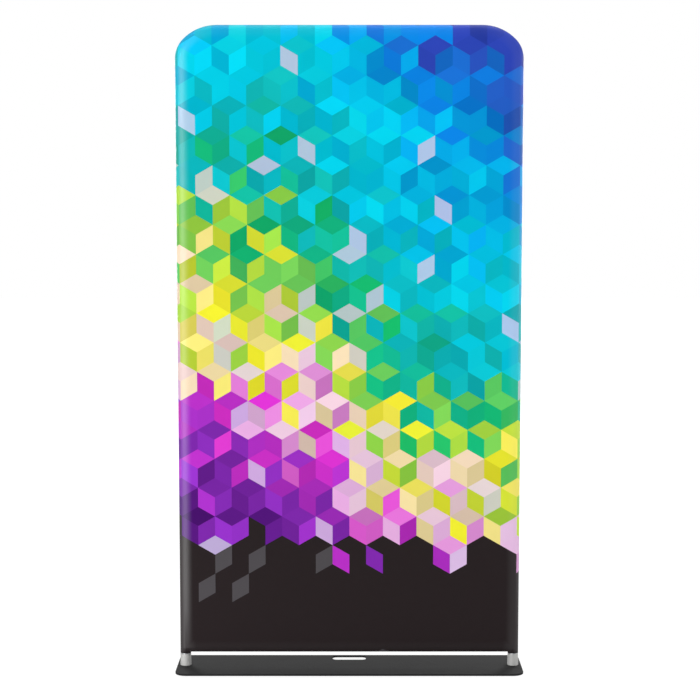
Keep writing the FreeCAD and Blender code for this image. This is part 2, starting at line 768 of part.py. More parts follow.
def zip_pull():
    """A flat tab with two arms round the lug and a pin through it."""
    body = new_body("zip_pull", z=size("zip_height"))
    half_width = size("pull_width") / 2
    half_slot = size("lug_width") / 2 + size("pull_side_gap")
    eye_end = lug_axis_x + size("pull_eye_length")
    tab_end = lug_axis_x + size("pull_length")
    pin_radius = size("pull_pin_diameter") / 2
    arm_start = lug_axis_x - pin_radius
    outline = sketch_on(body, "XZ_Plane", "pull_outline", z=-(lug_axis_y - size("pull_thickness") / 2))
    draw(outline, (arm_start, -half_width), [(tab_end, -half_width), (tab_end, half_width), (arm_start, half_width),
                                             (arm_start, half_slot), (eye_end, half_slot), (eye_end, -half_slot),
                                             (arm_start, -half_slot)])
    feature(body, "Pad", "tab", outline, Length=size("pull_thickness"), Reversed=True)
    pin = sketch_on(body, "XY_Plane", "pin_outline", z=-half_width)
    draw_circle(pin, lug_axis_x, lug_axis_y, size("pull_pin_diameter"))
    feature(body, "Pad", "pin", pin, Length=half_width * 2)
    corner = tab_end.value - size("pull_end_radius").value
    round_edges(body, "tab_corners", size("pull_end_radius"),
                lambda edge: edge.CenterOfMass.x > corner and edge.BoundBox.YLength > edge.BoundBox.DiagonalLength / 2)
    return body


# The base
node(base_plate())
node(floor_pads())
for name, (side, turn) in SIDES.items():
    node(post(name, side))
node(group("post_screws", [post_screw(side) for side in (LEFT, RIGHT)]))

# The frame
for name, (side, turn) in SIDES.items():
    node(foot_ferrule(name, side))
    node(lower_tube(name, side, turn))
    node(upper_tube(name, side, turn))
    node(top_tube(name, side))
node(crossbar())
for (name, (side, turn)), stub_turn in zip(SIDES.items(), (right_face_up, left_face_up)):
    node(crossbar_stub(name, side, stub_turn))
for name, place in SPIGOT_JOINTS.items():
    node(spigot(name, spigot_place(place)))
node(group("spigot_rivets", [spigot_rivet(place) for place in SPIGOT_JOINTS.values()]))
for name, place in {**SPIGOT_JOINTS, **CROSSBAR_JOINTS}.items():
    node(button_spring(name, place))
    node(snap_button(name, place))

# The cover and its zip
node(cover_panel("front_panel", face_right))
node(rear_panel())
node(zip_tapes())
node(zip_chain())
node(zip_stops())
node(zip_slider())
node(zip_pull())

doc.recompute()
failed = [item.Label for item in doc.Objects if {"Invalid", "Error"} & set(item.State)]
failed += [piece.Label for piece in nodes if piece.Shape.isNull() or not piece.Shape.isValid()]
if failed:
    raise RuntimeError("pieces that did not build: " + ", ".join(failed))

os.makedirs("parts", exist_ok=True)
for piece in nodes:
    piece.Shape.exportStep(f"parts/{piece.Label}.step")
print(len(nodes), "pieces written")
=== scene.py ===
import json
import math

import bmesh
import bpy
from mathutils import Matrix, Vector


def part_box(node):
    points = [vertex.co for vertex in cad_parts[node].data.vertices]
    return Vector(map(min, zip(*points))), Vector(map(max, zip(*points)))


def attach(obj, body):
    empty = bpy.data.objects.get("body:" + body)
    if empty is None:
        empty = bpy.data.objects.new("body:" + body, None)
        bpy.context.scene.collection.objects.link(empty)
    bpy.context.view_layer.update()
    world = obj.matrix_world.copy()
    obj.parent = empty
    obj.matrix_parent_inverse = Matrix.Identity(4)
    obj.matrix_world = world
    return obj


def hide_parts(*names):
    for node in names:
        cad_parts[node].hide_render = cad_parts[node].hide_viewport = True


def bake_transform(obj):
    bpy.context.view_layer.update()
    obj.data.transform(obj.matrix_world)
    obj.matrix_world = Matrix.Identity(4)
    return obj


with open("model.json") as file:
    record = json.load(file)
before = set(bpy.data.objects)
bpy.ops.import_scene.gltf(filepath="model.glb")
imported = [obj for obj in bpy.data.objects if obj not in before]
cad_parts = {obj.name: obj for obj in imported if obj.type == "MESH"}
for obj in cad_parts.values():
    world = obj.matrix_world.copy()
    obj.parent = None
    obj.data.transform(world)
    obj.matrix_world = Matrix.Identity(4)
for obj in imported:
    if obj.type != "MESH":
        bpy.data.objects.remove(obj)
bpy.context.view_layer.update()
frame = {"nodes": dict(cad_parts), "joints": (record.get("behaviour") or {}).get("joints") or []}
nodes = frame["nodes"]
print("frame loaded,", len(nodes), "nodes")


# Small helpers

def linearColour(code):
    channels = [int(code[i:i + 2], 16) / 255 for i in (1, 3, 5)]
    linear = [c / 12.92 if c <= 0.04045 else ((c + 0.055) / 1.055) ** 2.4 for c in channels]
    return linear + [1.0]


def plug(tree, node, inputs):
    for socket, value in inputs.items():
        if isinstance(value, bpy.types.NodeSocket):
            tree.links.new(value, node.inputs[socket])
        else:
            node.inputs[socket].default_value = value


def addNode(tree, kind, inputs=None, **settings):
    node = tree.nodes.new("ShaderNode" + kind)
    for name, value in settings.items():
        setattr(node, name, value)
    plug(tree, node, inputs or {})
    return node


def maths(tree, operation, *values):
    return addNode(tree, "Math", dict(enumerate(values)), operation=operation).outputs[0]


def vectorMaths(tree, operation, *values):
    return addNode(tree, "VectorMath", dict(enumerate(values)), operation=operation).outputs[0]


def scaled(tree, vector, factor):
    return addNode(tree, "VectorMath", {0: vector, 3: factor}, operation="SCALE").outputs[0]


def lengthOf(tree, vector):
    return addNode(tree, "VectorMath", {0: vector}, operation="LENGTH").outputs["Value"]


def mixColours(tree, share, first, second, blend="MIX"):
    inputs = {"Factor": share, 6: first, 7: second}
    return addNode(tree, "Mix", inputs, data_type="RGBA", blend_type=blend).outputs[2]


def newMaterial(name, finish):
    material = bpy.data.materials.new(name)
    material.use_nodes = True
    shader = material.node_tree.nodes["Principled BSDF"]
    plug(material.node_tree, shader, finish)
    return material, material.node_tree, shader


def newPiece(name, bm, material, smoothAngle=40):
    mesh = bpy.data.meshes.new(name)
    bm.to_mesh(mesh)
    bm.free()
    mesh.materials.append(material)
    mesh.shade_smooth()
    mesh.set_sharp_from_angle(angle=math.radians(smoothAngle))
    piece = bpy.data.objects.new(name, mesh)
    bpy.context.scene.collection.objects.link(piece)
    return piece


def ofKind(grown, kind):
    return [item for item in grown["geom"] if isinstance(item, kind)]


# Camera, at the photograph's height and distance

view = {
    "place": (0.0, -6.2256, 1.7468),
    "tiltDown": 5.585,
    "lens": 90.56,
    "sensorWidth": 36,
    "shift": (0.00093, 0.00461),
}
camera = bpy.data.cameras.new("camera")
camera.lens = view["lens"]
camera.sensor_width = view["sensorWidth"]
camera.shift_x, camera.shift_y = view["shift"]
cameraObject = bpy.data.objects.new("camera", camera)
cameraObject.location = view["place"]
cameraObject.rotation_euler = (math.radians(90 - view["tiltDown"]), 0, 0)
bpy.context.scene.collection.objects.link(cameraObject)
bpy.context.scene.camera = cameraObject
bpy.context.scene.view_settings.view_transform = "Standard"
print("camera placed")


# Finishes: two close colours in soft clouds, and a fine grain that shades, roughens and dents them
# Sizes are in metres; a grain of 1 along an axis draws lines that way

drawnOut = 1.0
finishes = {
    # Matt skin with a fine orange peel, drawn twice as coarse as it is so that it shows
    "powder coated steel": {
        "on": ["base_plate"],
        "colours": ("#181818", "#212122"), "roughness": (0.74, 0.88), "metallic": 0.0, "specular": 0.2,
        "grain": (0.0024, 0.0024, 0.0024), "depth": 0.00006, "cloud": 0.09,
    },
    # Silver satin, with faint lines round it from turning, drawn at 0.8 mm instead of 0.2 so that they show
    "satin anodised aluminium": {
        "on": ["left_foot_ferrule", "right_foot_ferrule"],
        "colours": ("#b1b1af", "#bdbdbb"), "roughness": (0.68, 0.78), "metallic": 0.5, "specular": 0.5,
        "grain": (drawnOut, drawnOut, 0.0008), "depth": 0.00001, "cloud": 0.02,
    },
    # Bluish plated grey, cloudy from its bath, over turning lines
    "zinc plated steel": {
        "on": ["left_post", "right_post", "post_screws"],
        "colours": ("#a6abb1", "#c0c3c6"), "roughness": (0.28, 0.44), "metallic": 1.0, "specular": 0.5,
        "grain": (drawnOut, drawnOut, 0.0009), "depth": 0.00001, "cloud": 0.012,
    },
    # Lines along every tube from drawing; the tubes lie in one plane, so depth alone tells the lines apart
    "drawn aluminium tube": {
        "on": ["left_lower_tube", "right_lower_tube", "left_upper_tube", "right_upper_tube", "left_top_tube",
               "right_top_tube", "crossbar", "left_crossbar_stub", "right_crossbar_stub", "left_mid_spigot",
               "right_mid_spigot", "left_top_spigot", "right_top_spigot", "top_bar_spigot"],
        "colours": ("#b6b8bb", "#c8cacc"), "roughness": (0.3, 0.42), "metallic": 1.0, "specular": 0.5,
        "grain": (drawnOut, 0.0009, drawnOut), "depth": 0.00001, "cloud": 0.06,
    },
    # Bright pressed heads with a soft grain
    "bright aluminium": {
        "on": ["spigot_rivets"],
        "colours": ("#c4c5c7", "#d2d3d4"), "roughness": (0.22, 0.34), "metallic": 1.0, "specular": 0.5,
        "grain": (0.0008, 0.0008, 0.0008), "depth": 0.00001, "cloud": 0.006,
    },
    # Blue grey rolled strip, fine lines along it
    "tempered spring steel": {
        "on": [name for name in nodes if name.endswith("_spring")],
        "colours": ("#4c5157", "#676c73"), "roughness": (0.3, 0.44), "metallic": 1.0, "specular": 0.5,
        "grain": (drawnOut, 0.0008, drawnOut), "depth": 0.00001, "cloud": 0.012,
    },
    # Warm bright plating, only just cloudy
    "nickel plated steel": {
        "on": [name for name in nodes if name.endswith("_button")],
        "colours": ("#aaa59c", "#bcb7ad"), "roughness": (0.16, 0.26), "metallic": 1.0, "specular": 0.5,
        "grain": (0.0007, 0.0007, 0.0007), "depth": 0.000004, "cloud": 0.006,
    },
    # Dull black with a moulded grain
    "moulded rubber": {
        "on": ["floor_pads"],
        "colours": ("#151516", "#1f1f20"), "roughness": (0.8, 0.95), "metallic": 0.0, "specular": 0.3,
        "grain": (0.0016, 0.0016, 0.0016), "depth": 0.00008, "cloud": 0.01,
    },
    # Black lacquer over die cast metal, rubbed thin in places
    "lacquered zinc casting": {
        "on": ["zip_slider", "zip_pull", "zip_stops"],
        "colours": ("#232325", "#3d3d40"), "roughness": (0.32, 0.5), "metallic": 0.8, "specular": 0.5,
        "grain": (0.0009, 0.0009, 0.0009), "depth": 0.00002, "cloud": 0.005,
    },
    # Black tape with a close rib across it
    "woven polyester tape": {
        "on": [],
        "colours": ("#101011", "#1c1c1e"), "roughness": (0.84, 0.95), "metallic": 0.0, "specular": 0.2,
        "grain": (0.0007, 0.0007, drawnOut), "depth": 0.0001, "cloud": 0.01,
    },
    # Smooth black plastic, a little glossy on its crowns
    "nylon zip coil": {
        "on": [],
        "colours": ("#121214", "#1e1e20"), "roughness": (0.34, 0.5), "metallic": 0.0, "specular": 0.5,
        "grain": (0.0006, 0.0006, 0.0006), "depth": 0.00001, "cloud": 0.004,
    },
    # Dark twisted yarn
    "polyester thread": {
        "on": [],
        "colours": ("#1b1a1c", "#343236"), "roughness": (0.6, 0.8), "metallic": 0.0, "specular": 0.3,
        "grain": (0.0004, 0.0004, 0.0004), "depth": 0.00008, "cloud": 0.003,
    },
    # The white back of the printed cloth
    "unprinted polyester knit": {
        "on": [],
        "colours": ("#d6d6d3", "#e4e4e2"), "roughness": (0.84, 0.94), "metallic": 0.0, "specular": 0.15,
        "grain": (0.002, 0.002, 0.002), "depth": 0.0001, "cloud": 0.08,
    },
}


noise = {
    "grainDetail": 2.0,
    "cloudDetail": 3.0,
    "grainShare": 0.4,  # of the shading; the clouds have the rest
    "range": (0.3, 0.7),  # where most of the noise lies
}


def grainFinish(name, look):
    material, tree, shader = newMaterial(name, {
        "Metallic": look["metallic"], "Specular IOR Level": look["specular"],
    })
    place = addNode(tree, "TexCoord").outputs["Object"]
    fine = vectorMaths(tree, "DIVIDE", place, look["grain"])
    grain = addNode(tree, "TexNoise", {
        "Vector": fine, "Scale": 1.0, "Detail": noise["grainDetail"],
    }).outputs["Fac"]
    cloud = addNode(tree, "TexNoise", {
        "Vector": place, "Scale": 1 / look["cloud"], "Detail": noise["cloudDetail"],
    }).outputs["Fac"]
    spread = dict(zip(("From Min", "From Max"), noise["range"]))
    tone = addNode(tree, "Mix", {"Factor": noise["grainShare"], 2: cloud, 3: grain})
    share = addNode(tree, "MapRange", {"Value": tone.outputs[0], **spread})
    dark, light = (linearColour(code) for code in look["colours"])
    colour = mixColours(tree, share.outputs[0], dark, light)
    smooth, dull = look["roughness"]
    rough = addNode(tree, "MapRange", {"Value": grain, "To Min": smooth, "To Max": dull, **spread})
    bump = addNode(tree, "Bump", {"Distance": look["depth"], "Height": grain})
    plug(tree, shader, {"Base Color": colour, "Roughness": rough.outputs[0], "Normal": bump.outputs[0]})
    return material


mixed = {}
for name, look in finishes.items():
    mixed[name] = grainFinish(name, look)
    for member in look["on"]:
        slots = nodes[member].data.materials
        slots.clear()
        slots.append(mixed[name])
print(len(mixed), "finishes mixed")


# Printed stretch cloth: dye printed polyester knit, matt with a soft satin roll-off, fine loops across it

printLook = {
    "tile": 0.12,  # width of one hexagon of three lozenges
    "lozengeStart": 0.25,  # of a third of a turn, so that one edge in each hexagon is upright
    "flow": (-0.26, -0.365),  # how fast the colours run on to the right and upwards, per metre
    "flowMiddle": (0.0, 1.36),
    "wander": 0.26,
    "wanderSize": 0.9,
    "scatter": 0.17,
    "shade": 0.42,
    "shadeBelow": 0.65,  # how much of the shade's spread lies below the colour's own brightness
    "paleShare": 0.06,
    "paleAmount": 0.6,
    "hemTop": 0.44,  # height where the dark foot of the print begins
    "hemSlope": 0.09,
    "hemStep": 0.16,
    "dimShare": 0.05,
    "colours": [
        (0.00, "#2a3fa6"), (0.10, "#0b74cf"), (0.20, "#06a5dc"), (0.32, "#05c6dc"), (0.42, "#10aeb0"),
        (0.50, "#16b062"), (0.57, "#8fce45"), (0.64, "#e6dd2b"), (0.71, "#dcb9d9"), (0.78, "#cf2fc0"),
        (0.88, "#8a2fb9"), (1.00, "#48146b"),
    ],
    "pale": "#cfc3e2",
    "hem": "#272122",
    "hemTile": "#494649",
    "shineFrom": (0.03, 0.58),  # share of the way from the flat field to the cover's outermost line
    "loopPitch": 0.003,  # about three times the real one, so that it shows
    "loopDepth": 0.00012,
    "loopStrength": 0.5,
}


def clothPrint():
    # Matt where it hangs flat; drawn tight round the tubes, the yarn lies smooth and shines like a thin coat
    material, tree, shader = newMaterial("dye printed polyester knit", {
        "Roughness": 0.85, "Specular IOR Level": 0.0, "Coat Roughness": 0.46, "Coat IOR": 1.45,
    })
    look = printLook
    low, high = look["shineFrom"]
    rolled = addNode(tree, "Attribute", attribute_name="roll").outputs["Fac"]
    shine = addNode(tree, "MapRange", {"Value": rolled, "From Min": low, "From Max": high},
                    interpolation_type="SMOOTHSTEP")
    # Two staggered grids of centres: the nearer one owns the point
    halfTile = (0.5, math.sqrt(3) / 2, 1.0)
    lowHalf = tuple(-side for side in halfTile)
    flat = addNode(tree, "UVMap", uv_map="flat").outputs[0]
    place = scaled(tree, flat, 1 / look["tile"])
    moved = vectorMaths(tree, "SUBTRACT", place, halfTile[:2] + (0.0,))
    first, second = (vectorMaths(tree, "WRAP", grid, halfTile, lowHalf) for grid in (place, moved))
    nearer = maths(tree, "LESS_THAN", lengthOf(tree, first), lengthOf(tree, second))
    inTile = addNode(tree, "Mix", {"Factor": nearer, 4: second, 5: first}, data_type="VECTOR").outputs[1]
    loose = vectorMaths(tree, "SUBTRACT", place, inTile)
    nudged = vectorMaths(tree, "ADD", loose, tuple(side / 2 for side in halfTile))
    centre = vectorMaths(tree, "SNAP", nudged, halfTile)
    # Each hexagon is three lozenges, told apart by the angle about its centre
    lozenges = 3.0
    inside = addNode(tree, "SeparateXYZ", {0: inTile}).outputs
    angle = maths(tree, "ARCTAN2", inside[1], inside[0])
    turns = maths(tree, "MULTIPLY_ADD", angle, lozenges / math.tau, -look["lozengeStart"])
    lozenge = maths(tree, "FLOOR", maths(tree, "WRAP", turns, lozenges, 0.0))
    middle = addNode(tree, "SeparateXYZ", {0: centre}).outputs
    seed = addNode(tree, "CombineXYZ", {0: middle[0], 1: middle[1], 2: lozenge}).outputs[0]
    chance = addNode(tree, "TexWhiteNoise", {"Vector": seed}, noise_dimensions="3D").outputs["Color"]
    draws = addNode(tree, "SeparateColor", {0: chance}).outputs
    # Where the lozenge's hexagon lies on the cloth, in metres, sets its place in the run of colours
    spot = scaled(tree, centre, look["tile"])
    spotAxes = addNode(tree, "SeparateXYZ", {0: spot}).outputs
    across, upwards = spotAxes[0], spotAxes[1]
    wander = addNode(tree, "TexNoise", {"Vector": spot, "Scale": 1 / look["wanderSize"], "Detail": 1.0},
                     noise_dimensions="2D").outputs["Fac"]
    flowX, flowZ = look["flow"]
    flow = 0.5 - flowX * look["flowMiddle"][0] - flowZ * look["flowMiddle"][1]
    flow -= (look["wander"] + look["scatter"]) / 2
    pulls = ((across, flowX), (upwards, flowZ), (wander, look["wander"]), (draws[0], look["scatter"]))
    for source, rate in pulls:
        flow = maths(tree, "MULTIPLY_ADD", source, rate, flow)
    ramp = addNode(tree, "ValToRGB", {0: flow})
    stops = ramp.color_ramp.elements
    stops.remove(stops[1])
    stops[0].color = linearColour(look["colours"][0][1])
    for share, code in look["colours"][1:]:
        stops.new(share).color = linearColour(code)
    darkest = 1 - look["shade"] * look["shadeBelow"]
    shade = maths(tree, "MULTIPLY_ADD", draws[1], look["shade"], darkest)
    shaded = mixColours(tree, 1.0, ramp.outputs[0], shade, "MULTIPLY")
    pale, hem, hemTile = (linearColour(look[name]) for name in ("pale", "hem", "hemTile"))
    isPale = maths(tree, "GREATER_THAN", draws[2], 1 - look["paleShare"])
    field = mixColours(tree, maths(tree, "MULTIPLY", isPale, look["paleAmount"]), shaded, pale)
    # The dark foot of the print, with a stepped edge and a few lighter lozenges
    isDim = maths(tree, "GREATER_THAN", draws[1], 1 - look["dimShare"])
    foot = mixColours(tree, isDim, hem, hemTile)
    slope = maths(tree, "MULTIPLY_ADD", across, look["hemSlope"], upwards)
    ragged = maths(tree, "MULTIPLY_ADD", draws[2], look["hemStep"], slope)
    isFoot = maths(tree, "LESS_THAN", ragged, look["hemTop"] + look["hemStep"] / 2)
    colour = mixColours(tree, isFoot, field, foot)
    # Knit loops: ribs one way, courses the other
    pitch = math.tau / look["loopPitch"]
    axes = addNode(tree, "SeparateXYZ", {0: flat}).outputs
    ribs, rows = (maths(tree, "SINE", maths(tree, "MULTIPLY", axes[i], pitch)) for i in (0, 1))
    bump = addNode(tree, "Bump", {
        "Strength": look["loopStrength"], "Distance": look["loopDepth"],
        "Height": maths(tree, "MULTIPLY", ribs, rows),
    })
    plug(tree, shader, {"Base Color": colour, "Normal": bump.outputs[0], "Coat Weight": shine.outputs[0]})
    return material


# The cover: two panels drawn over the tube frame, each rolled round the tubes to a seam at mid depth

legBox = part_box("right_lower_tube")
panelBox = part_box("front_panel")
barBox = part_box("crossbar")
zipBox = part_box("zip_tapes")
legX = (legBox[0].x + legBox[1].x) / 2
barZ = (barBox[0].z + barBox[1].z) / 2
coverRadius = panelBox[1].x - legX
topLine = panelBox[1].z - coverRadius
sleeveEnd = panelBox[0].z

cover = {
    "bendSideRadius": 0.078,  # the tube's bend: a tighter arc from the upright, then a wider one to the top bar
    "bendTopRadius": 0.146,
    "bendSideAngle": 45,
    "arcSteps": 9,
    "gridStep": 0.11,
    "thickness": 0.0004,
    "seamHalfWidth": 0.0006,
    "seamDepth": 0.001,
    "turnedEdge": 0.0005,  # the cloth's edge, folded in along the zip
    "outerRings": 12,
    "endGrip": 0.45,  # how tight the cloth is over the top and the hem, as a share of its pull across
    "same": 0.00001,  # points nearer than this are one
    "onCut": 0.000001,  # a point nearer to a cut than this lies on it
    "front": {"shoulder": 0.053, "depth": 0.022, "power": 2.5, "innerRings": 7},
    "rear": {"shoulder": 0.024, "depth": 0.0193, "power": 2.2, "innerRings": 3},
}
bendTurn = math.radians(cover["bendSideAngle"])
sideRadius, topRadius = cover["bendSideRadius"], cover["bendTopRadius"]
sideCentreX = legX - sideRadius
bendStart = topLine - sideRadius * math.sin(bendTurn) - topRadius * (1 - math.sin(bendTurn))
topCentreX = sideCentreX + (sideRadius - topRadius) * math.cos(bendTurn)
topCentreZ = topLine - topRadius


def rollSteps(shape):
    # Offset from the tube line, depth and length along the cloth of each ring, flat to seam
    shoulder, depth, power = shape["shoulder"], shape["depth"], shape["power"]
    atTube = math.asin((1 - coverRadius / shoulder) ** (power / 2))
    inner = [atTube * i / shape["innerRings"] for i in range(shape["innerRings"] + 1)]
    atSeam = math.acos((cover["seamHalfWidth"] / depth) ** (power / 2))
    outer = [atTube + (atSeam - atTube) * (i + 1) / cover["outerRings"] for i in range(cover["outerRings"])]
    rings = []
    for turn in inner + outer:
        out = coverRadius - shoulder * (1 - math.sin(turn) ** (2 / power))
        deep = depth * math.cos(turn) ** (2 / power)
        along = rings[-1][2] + math.dist((out, deep), rings[-1][:2]) if rings else out
        rings.append((out, deep, along))
    out, deep, along = rings[-1]
    rings.append((out - cover["seamDepth"], 0.0, along + cover["seamDepth"]))
    return rings[:len(inner)], rings[len(inner):]


def outwardAt(point, inset):
    # Which way is outwards at a point of the outline that lies this far inside the tube line
    side = math.copysign(1, point.x)
    x, z = abs(point.x), point.z
    if z < barZ + inset + cover["same"]:
        onSide = x > legX - inset - cover["same"]
        return Vector((side if onSide else 0, 0, -1))
    if z <= bendStart:
        return Vector((side, 0, 0))
    lean = Vector((x - sideCentreX, 0, z - bendStart))
    if math.atan2(lean.z, lean.x) > bendTurn + cover["same"] or x < sideCentreX:
        lean = Vector((max(0.0, x - topCentreX), 0, z - topCentreZ))
    lean.normalize()
    return Vector((side * lean.x, 0, lean.z))


def fieldOutline(bm, level, inset):
    # Half of the flat field's outline: up the side, round two arcs, along the top. It's mirrored, then filled
    tip = bmesh.ops.create_vert(bm, co=(0, level, barZ + inset))["vert"][0]
    for spot in ((legX - inset, level, barZ + inset), (legX - inset, level, bendStart)):
        tip = bmesh.ops.extrude_vert_indiv(bm, verts=[tip])["verts"][0]
        tip.co = spot
    sideArc = ((sideCentreX, level, bendStart), bendTurn)
    topArc = ((topCentreX, level, topCentreZ), math.pi / 2 - bendTurn)
    for centre, turn in (sideArc, topArc):
        spun = bmesh.ops.spin(bm, geom=[tip], cent=centre, axis=(0, -1, 0), angle=turn,
                              steps=cover["arcSteps"])
        tip = next(item for item in spun["geom_last"] if isinstance(item, bmesh.types.BMVert))
    tip = bmesh.ops.extrude_vert_indiv(bm, verts=[tip])["verts"][0]
    tip.co.x = 0
    half = bm.verts[:] + bm.edges[:]
    bmesh.ops.mirror(bm, geom=half, matrix=Matrix.Identity(4), merge_dist=cover["same"], axis="X")
    bmesh.ops.contextual_create(bm, geom=bm.edges[:])


def cutField(bm, inset, gap):
    # Into squares, and along the zip gap where there is one
    step = cover["gridStep"]
    across = int(legX / step)
    upwards = int((topLine - barZ) / step)
    cuts = [((step * i, 0, 0), (1, 0, 0)) for i in range(-across, across + 1)]
    cuts += [((0, 0, barZ + inset + step * i), (0, 0, 1)) for i in range(1, upwards)]
    if gap:
        cuts += [((corner.x, 0, 0), (1, 0, 0)) for corner in gap]
        cuts += [((0, 0, corner.z), (0, 0, 1)) for corner in gap]
    for spot, normal in cuts:
        whole = bm.verts[:] + bm.edges[:] + bm.faces[:]
        bmesh.ops.bisect_plane(bm, geom=whole, dist=cover["onCut"], plane_co=spot, plane_no=normal)


def openGap(bm, face, gap):
    inGap = [item for item in bm.faces if abs(item.calc_center_median().x) < gap[1].x
             and gap[0].z < item.calc_center_median().z < gap[1].z]
    rim = {edge for item in inGap for edge in item.edges}
    bmesh.ops.delete(bm, geom=inGap, context="FACES")
    rim = [edge for edge in rim if edge.is_valid and edge.is_boundary]
    turned = ofKind(bmesh.ops.extrude_edge_only(bm, edges=rim), bmesh.types.BMVert)
    bmesh.ops.translate(bm, vec=(0, -face * cover["turnedEdge"], 0), verts=turned)


def coverPanel(name, face, shape, gap=None):
    inner, outer = rollSteps(shape)
    inset = -inner[0][0]
    bm = bmesh.new()
    tubePoint = bm.verts.layers.float_vector.new("tubePoint")
    outward = bm.verts.layers.float_vector.new("outward")
    flat = bm.verts.layers.float_vector.new("flat")
    rolled = bm.verts.layers.float.new("roll")
    fieldOutline(bm, face * inner[0][1], inset)
    cutField(bm, inset, gap)
    for vert in bm.verts:
        vert[flat] = vert.co
    ring = [edge for edge in bm.edges if edge.is_boundary]
    for vert in {vert for edge in ring for vert in edge.verts}:
        vert[outward] = outwardAt(vert.co, inset)
        vert[tubePoint] = vert.co + vert[outward] * inset

    def roll(edges, steps):
        for out, deep, along in steps:
            grown = bmesh.ops.extrude_edge_only(bm, edges=edges)
            fresh = set(ofKind(grown, bmesh.types.BMVert))
            edges = [edge for edge in ofKind(grown, bmesh.types.BMEdge) if fresh.issuperset(edge.verts)]
            for vert in fresh:
                vert.co = vert[tubePoint] + vert[outward] * out
                vert.co.y = face * deep
                vert[flat] = vert[tubePoint] + vert[outward] * along
                grip = cover["endGrip"] + (1 - cover["endGrip"]) * abs(vert[outward].x)
                vert[rolled] = grip * (1 - (coverRadius - out) / shape["shoulder"])
        return edges

    def onBar(vert):
        return abs(vert[tubePoint].z - barZ) < cover["same"]

    ring = roll(ring, inner[1:])
    # Below the tube line the sides run on down as sleeves, and the hem rolls round the crossbar between them
    hem = [edge for edge in ring if all(onBar(vert) for vert in edge.verts)]
    sides = [edge for edge in ring if edge not in hem]
    corners = [vert for vert in {vert for edge in hem for vert in edge.verts}
               if abs(abs(vert[tubePoint].x) - legX) < cover["same"]]
    ends = bmesh.ops.extrude_vert_indiv(bm, verts=corners)
    for vert in ends["verts"]:
        vert.co.z = sleeveEnd
        vert[tubePoint] = (vert.co.x, 0, sleeveEnd)
        vert[flat] = vert[tubePoint]
    for vert in corners + ends["verts"]:
        vert[outward] = (math.copysign(1, vert.co.x), 0, 0)
    roll(sides + ends["edges"], outer)
    for vert in corners:
        vert[outward] = (-math.copysign(1, vert.co.x), 0, -1)
    for vert in ends["verts"]:
        vert[outward] = (-math.copysign(1, vert.co.x), 0, 0)
    roll(hem, outer)
    roll(ends["edges"], outer)
    bmesh.ops.remove_doubles(bm, verts=bm.verts, dist=cover["same"])
    if gap:
        openGap(bm, face, gap)
    bmesh.ops.recalc_face_normals(bm, faces=bm.faces)
    widest = max(bm.faces, key=lambda item: item.calc_area())
    if widest.normal.y * face < 0:
        bmesh.ops.reverse_faces(bm, faces=bm.faces)
    layout = bm.loops.layers.uv.new("flat")
    for item in bm.faces:
        for loop in item.loops:
            loop[layout].uv = (loop.vert[flat].x, loop.vert[flat].z)
    for layer in (tubePoint, outward, flat):
        bm.verts.layers.float_vector.remove(layer)
    panel = newPiece(name, bm, printedCloth)
    panel.data.materials.append(mixed["unprinted polyester knit"])
    thicken = panel.modifiers.new("cloth", "SOLIDIFY")
    thicken.thickness = cover["thickness"]
    thicken.offset = -1
    thicken.material_offset = 1
    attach(panel, "frame")
    reach = outer[-1][2]
    cut = (2 * (legX + reach), topLine - barZ + 2 * reach)
    print(name, "sewn, cut", [round(side, 3) for side in cut])
    return panel, cut


printedCloth = clothPrint()
frontCover, frontCut = coverPanel("front_cover", -1, cover["front"])
rearCover, rearCut = coverPanel("rear_cover", 1, cover["rear"], zipBox)
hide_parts("front_panel")
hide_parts("rear_panel")


# Zip in the rear panel: tape sewn behind the cloth's edges, two rows of teeth, and the rows of stitches

zipLook = {
    "tapeUnder": 0.0035,  # how far the tape runs on behind the cloth
    "tapeThickness": 0.0007,
    "tapeEdge": 0.0002,
    "toothPitch": 0.0016,
    "toothSize": (0.0012, 0.0022, 0.0034),
    "toothOffset": 0.0009,
    "stitchPitch": 0.0036,
    "stitchSize": (0.003, 0.0005, 0.0006),
    "stitchInset": 0.0024,
    "beadSegments": (8, 5),  # round and along each tooth or stitch
}
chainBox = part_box("zip_chain")
zipMiddle = (zipBox[0] + zipBox[1]) / 2


def zipTape():
    bm = bmesh.new()
    under, thick = zipLook["tapeUnder"], zipLook["tapeThickness"]
    inside = zipLook["toothSize"][2] / 2
    wide = zipBox[1].z - zipMiddle.z + under - inside
    for side in (-1, 1):
        strip = bmesh.ops.create_cube(bm, size=1)["verts"]
        bmesh.ops.scale(bm, vec=(zipBox[1].x - zipBox[0].x + 2 * under, thick, wide), verts=strip)
        place = (zipMiddle.x, zipMiddle.y, zipMiddle.z + side * (inside + wide / 2))
        bmesh.ops.translate(bm, vec=place, verts=strip)
    bmesh.ops.bevel(bm, geom=bm.edges[:], offset=zipLook["tapeEdge"], affect="EDGES", segments=2, profile=0.5,
                    material=-1)
    return newPiece("zip_tape", bm, mixed["woven polyester tape"])


def rowOf(name, finish, size, places, pitch, length):
    # Small rounded shapes, repeated along the zip
    bm = bmesh.new()
    around, upwards = zipLook["beadSegments"]
    for place in places:
        bead = bmesh.ops.create_uvsphere(bm, u_segments=around, v_segments=upwards, radius=0.5)["verts"]
        bmesh.ops.scale(bm, vec=size, verts=bead)
        bmesh.ops.translate(bm, vec=place, verts=bead)
    piece = newPiece(name, bm, mixed[finish], smoothAngle=180)
    row = piece.modifiers.new("row", "ARRAY")
    row.count = int(length / pitch)
    row.use_relative_offset = False
    row.use_constant_offset = True
    row.constant_offset_displace = (pitch, 0, 0)
    return piece


